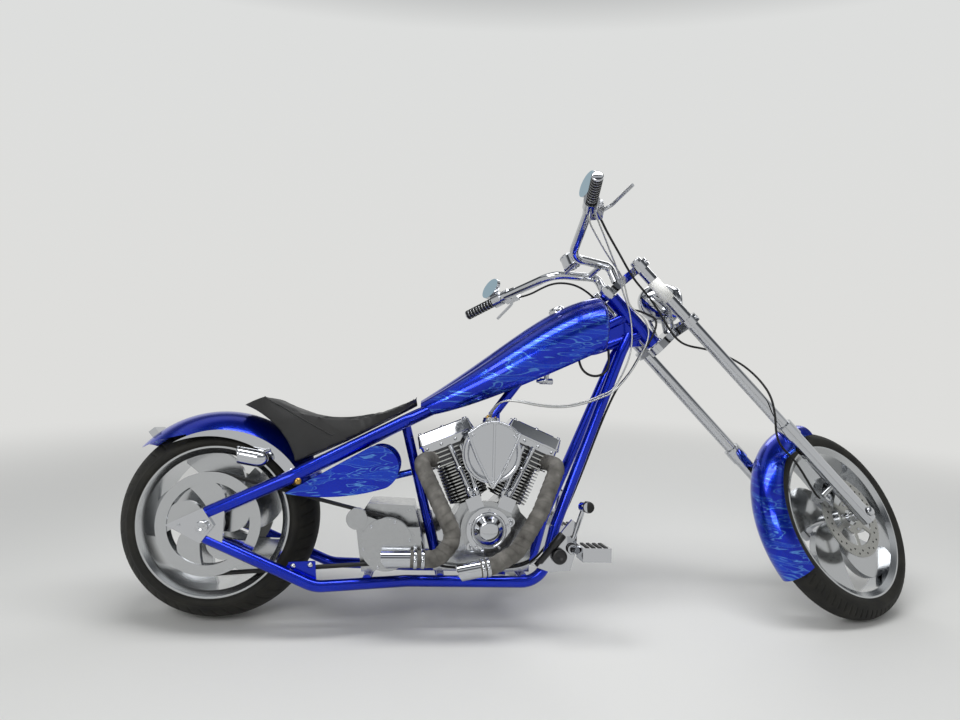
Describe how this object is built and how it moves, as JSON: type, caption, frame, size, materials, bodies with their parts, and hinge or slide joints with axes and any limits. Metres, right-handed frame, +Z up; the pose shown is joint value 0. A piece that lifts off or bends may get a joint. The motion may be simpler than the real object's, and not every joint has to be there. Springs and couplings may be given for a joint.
{
  "type": "chopper motorcycle",
  "caption": "Long raked custom chopper with a rigid rear frame, V-twin engine, wide rear tyre and stretched tank, parked on its side stand.",
  "frame": {"origin": "on the ground, under the middle of the parked machine's bounding box", "axes": "+X forward along the machine, +Y to its left, +Z up"},
  "size_m": [2.8834, 0.7616, 1.5239],
  "materials": {
    "blue_paint": "candy blue lacquer, high gloss",
    "chrome": "bright chrome",
    "polished_alloy": "polished",
    "rotor_steel": "brushed",
    "black_fins": "black with bright fin edges",
    "pipe_wrap": "woven glass-fibre wrap",
    "tyre_rubber": "black",
    "belt_rubber": "black",
    "grip_rubber": "ribbed",
    "seat_leather": "smooth black",
    "mirror_glass": "mirror"
  },
  "bodies": {
    "chassis": {"air_cleaner": "chrome", "axle_plates": "chrome", "cam_cover": "chrome", "carburettor": "polished_alloy", "crankcase": "polished_alloy", "cylinder_front": "black_fins", "cylinder_rear": "black_fins", "drive_belt": "belt_rubber", "exhaust_pipe_front": "pipe_wrap", "exhaust_pipe_rear": "pipe_wrap", "exhaust_tips": "chrome", "fender_struts": "chrome", "forward_controls": "chrome", "frame_backbone": "blue_paint", "frame_crossmembers": "blue_paint", "frame_down_tubes": "blue_paint", "frame_lower_rails": "blue_paint", "frame_stays": "blue_paint", "fuel_tank": "blue_paint", "oil_tank": "blue_paint", "primary_cover": "chrome", "pushrod_tubes": "chrome", "rear_axle": "chrome", "rear_caliper": "polished_alloy", "rear_fender": "blue_paint", "rear_lights": "chrome", "rocker_boxes": "chrome", "seat": "seat_leather", "transmission": "polished_alloy", "transmission_cover": "chrome"},
    "fork": {"fork_clamps": "chrome", "fork_sliders": "chrome", "fork_tubes": "chrome", "front_caliper": "polished_alloy", "front_fender": "blue_paint", "grips": "grip_rubber", "hand_controls": "chrome", "handlebar": "chrome", "headlight": "chrome", "mirrors": "mirror_glass"},
    "front_wheel": {"front_rim": "polished_alloy", "front_rotor": "rotor_steel", "front_tyre": "tyre_rubber"},
    "rear_wheel": {"rear_pulley": "polished_alloy", "rear_rim": "polished_alloy", "rear_rotor": "rotor_steel", "rear_tyre": "tyre_rubber"},
    "side_stand": {"side_stand": "chrome"}
  },
  "joints": [
    {"name": "steering", "type": "hinge", "parent": "chassis", "child": "fork", "pos_m": [0.3795, 0.04102, 0.99328], "axis": [-0.6844, 0.1122, 0.7204], "range_deg": [-64, 0]},
    {"name": "front_wheel_spin", "type": "hinge", "parent": "fork", "child": "front_wheel", "pos_m": [1.11433, -0.02119, 0.31299], "axis": [-0.3863, 0.7822, -0.4889], "continuous": true},
    {"name": "rear_wheel_spin", "type": "hinge", "parent": "chassis", "child": "rear_wheel", "pos_m": [-1.11375, -0.0629, 0.32588], "axis": [0, 0.9881, -0.1538], "continuous": true},
    {"name": "side_stand_fold", "type": "hinge", "parent": "chassis", "child": "side_stand", "pos_m": [-0.13053, 0.06766, 0.09835], "axis": [0.0958, 0.4147, 0.9049], "range_deg": [0, 102]}
  ]
}
